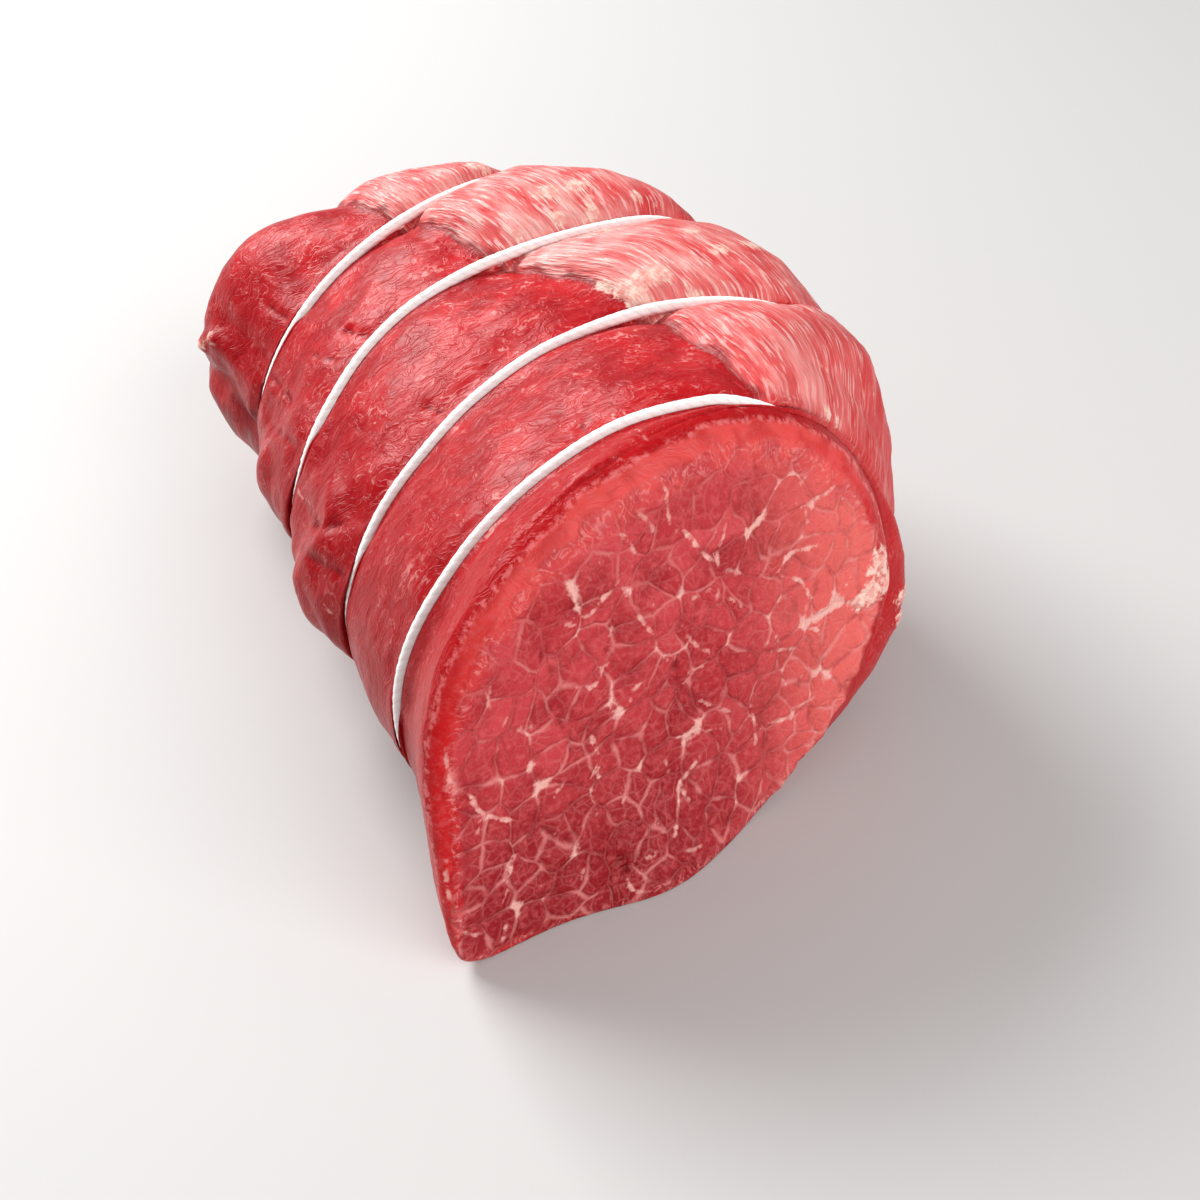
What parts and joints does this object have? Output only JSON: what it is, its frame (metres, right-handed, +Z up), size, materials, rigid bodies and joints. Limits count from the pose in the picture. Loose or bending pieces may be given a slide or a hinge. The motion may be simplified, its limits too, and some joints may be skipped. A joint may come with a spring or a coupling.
{
  "type": "chateaubriand",
  "caption": "Raw beef tenderloin roast lying on its flat underside, tied with tight twine loops, with a slanted cut face at one end.",
  "frame": {"origin": "middle of the underside, on the surface that the roast lies on", "axes": "+Y along the roast away from its cut face, +X to the right seen from the cut face, +Z up"},
  "size_m": [0.1047, 0.1498, 0.0715],
  "materials": {
    "beef": "moist raw beef with thin creamy fat",
    "cotton_twine": "white twisted cotton"
  },
  "bodies": {
    "root": {"meat": "beef", "string_1": "cotton_twine", "string_2": "cotton_twine", "string_3": "cotton_twine", "string_4": "cotton_twine"}
  },
  "joints": []
}
